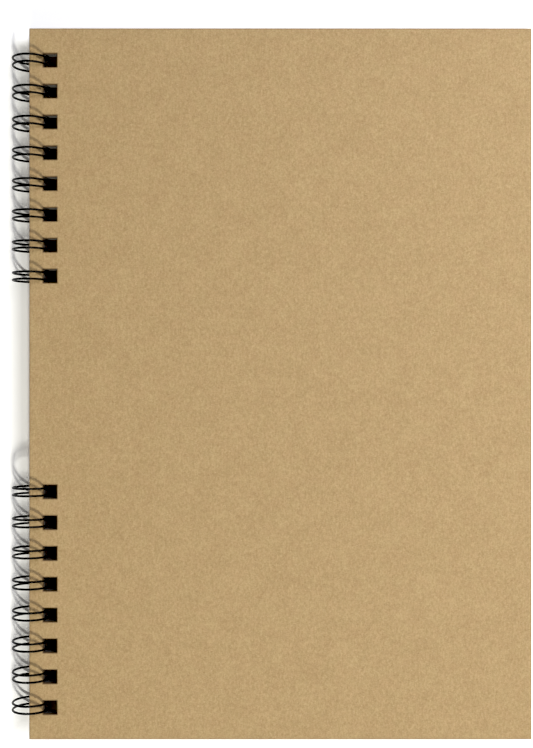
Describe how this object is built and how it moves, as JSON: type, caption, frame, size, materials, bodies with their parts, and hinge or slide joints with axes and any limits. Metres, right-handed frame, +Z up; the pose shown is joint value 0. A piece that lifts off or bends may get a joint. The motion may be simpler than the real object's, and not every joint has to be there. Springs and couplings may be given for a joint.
{
  "type": "sketchbook",
  "caption": "Portrait sketchbook: kraft board covers and plain paper sheets that turn on black twin-loop wire along the spine.",
  "frame": {"origin": "under the middle of the closed book's outline, level with the lowest point of the wire loops", "axes": "+Z up out of the front cover, +Y along the spine towards the head, +X from the spine to the fore-edge"},
  "size_m": [0.2148, 0.293, 0.0156],
  "materials": {
    "kraft_board": "matte",
    "paper": "matte",
    "wire": "gloss"
  },
  "bodies": {
    "binding": {"back_cover": "kraft_board", "wire_upper": "wire", "wire_lower": "wire"},
    "sheet_20": {"sheet_20": "paper"},
    "sheet_19": {"sheet_19": "paper"},
    "sheet_18": {"sheet_18": "paper"},
    "sheet_17": {"sheet_17": "paper"},
    "sheet_16": {"sheet_16": "paper"},
    "sheet_15": {"sheet_15": "paper"},
    "sheet_14": {"sheet_14": "paper"},
    "sheet_13": {"sheet_13": "paper"},
    "sheet_12": {"sheet_12": "paper"},
    "sheet_11": {"sheet_11": "paper"},
    "sheet_10": {"sheet_10": "paper"},
    "sheet_09": {"sheet_09": "paper"},
    "sheet_08": {"sheet_08": "paper"},
    "sheet_07": {"sheet_07": "paper"},
    "sheet_06": {"sheet_06": "paper"},
    "sheet_05": {"sheet_05": "paper"},
    "sheet_04": {"sheet_04": "paper"},
    "sheet_03": {"sheet_03": "paper"},
    "sheet_02": {"sheet_02": "paper"},
    "sheet_01": {"sheet_01": "paper"},
    "front_cover": {"front_cover": "kraft_board"}
  },
  "joints": [
    {"name": "sheet_20_turn", "type": "hinge", "parent": "binding", "child": "sheet_20", "pos_m": [-0.09963, 0, 0.0078], "axis": [0, -1, 0], "range_deg": [0, 180]},
    {"name": "sheet_19_turn", "type": "hinge", "parent": "sheet_20", "child": "sheet_19", "pos_m": [-0.09963, 0, 0.0078], "axis": [0, -1, 0], "range_deg": [0, 180]},
    {"name": "sheet_18_turn", "type": "hinge", "parent": "sheet_19", "child": "sheet_18", "pos_m": [-0.09963, 0, 0.0078], "axis": [0, -1, 0], "range_deg": [0, 180]},
    {"name": "sheet_17_turn", "type": "hinge", "parent": "sheet_18", "child": "sheet_17", "pos_m": [-0.09963, 0, 0.0078], "axis": [0, -1, 0], "range_deg": [0, 180]},
    {"name": "sheet_16_turn", "type": "hinge", "parent": "sheet_17", "child": "sheet_16", "pos_m": [-0.09963, 0, 0.0078], "axis": [0, -1, 0], "range_deg": [0, 180]},
    {"name": "sheet_15_turn", "type": "hinge", "parent": "sheet_16", "child": "sheet_15", "pos_m": [-0.09963, 0, 0.0078], "axis": [0, -1, 0], "range_deg": [0, 180]},
    {"name": "sheet_14_turn", "type": "hinge", "parent": "sheet_15", "child": "sheet_14", "pos_m": [-0.09963, 0, 0.0078], "axis": [0, -1, 0], "range_deg": [0, 180]},
    {"name": "sheet_13_turn", "type": "hinge", "parent": "sheet_14", "child": "sheet_13", "pos_m": [-0.09963, 0, 0.0078], "axis": [0, -1, 0], "range_deg": [0, 180]},
    {"name": "sheet_12_turn", "type": "hinge", "parent": "sheet_13", "child": "sheet_12", "pos_m": [-0.09963, 0, 0.0078], "axis": [0, -1, 0], "range_deg": [0, 180]},
    {"name": "sheet_11_turn", "type": "hinge", "parent": "sheet_12", "child": "sheet_11", "pos_m": [-0.09963, 0, 0.0078], "axis": [0, -1, 0], "range_deg": [0, 180]},
    {"name": "sheet_10_turn", "type": "hinge", "parent": "sheet_11", "child": "sheet_10", "pos_m": [-0.09963, 0, 0.0078], "axis": [0, -1, 0], "range_deg": [0, 180]},
    {"name": "sheet_09_turn", "type": "hinge", "parent": "sheet_10", "child": "sheet_09", "pos_m": [-0.09963, 0, 0.0078], "axis": [0, -1, 0], "range_deg": [0, 180]},
    {"name": "sheet_08_turn", "type": "hinge", "parent": "sheet_09", "child": "sheet_08", "pos_m": [-0.09963, 0, 0.0078], "axis": [0, -1, 0], "range_deg": [0, 180]},
    {"name": "sheet_07_turn", "type": "hinge", "parent": "sheet_08", "child": "sheet_07", "pos_m": [-0.09963, 0, 0.0078], "axis": [0, -1, 0], "range_deg": [0, 180]},
    {"name": "sheet_06_turn", "type": "hinge", "parent": "sheet_07", "child": "sheet_06", "pos_m": [-0.09963, 0, 0.0078], "axis": [0, -1, 0], "range_deg": [0, 180]},
    {"name": "sheet_05_turn", "type": "hinge", "parent": "sheet_06", "child": "sheet_05", "pos_m": [-0.09963, 0, 0.0078], "axis": [0, -1, 0], "range_deg": [0, 180]},
    {"name": "sheet_04_turn", "type": "hinge", "parent": "sheet_05", "child": "sheet_04", "pos_m": [-0.09963, 0, 0.0078], "axis": [0, -1, 0], "range_deg": [0, 180]},
    {"name": "sheet_03_turn", "type": "hinge", "parent": "sheet_04", "child": "sheet_03", "pos_m": [-0.09963, 0, 0.0078], "axis": [0, -1, 0], "range_deg": [0, 180]},
    {"name": "sheet_02_turn", "type": "hinge", "parent": "sheet_03", "child": "sheet_02", "pos_m": [-0.09963, 0, 0.0078], "axis": [0, -1, 0], "range_deg": [0, 180]},
    {"name": "sheet_01_turn", "type": "hinge", "parent": "sheet_02", "child": "sheet_01", "pos_m": [-0.09963, 0, 0.0078], "axis": [0, -1, 0], "range_deg": [0, 180]},
    {"name": "front_cover_turn", "type": "hinge", "parent": "sheet_01", "child": "front_cover", "pos_m": [-0.09963, 0, 0.0078], "axis": [0, -1, 0], "range_deg": [0, 180]}
  ]
}
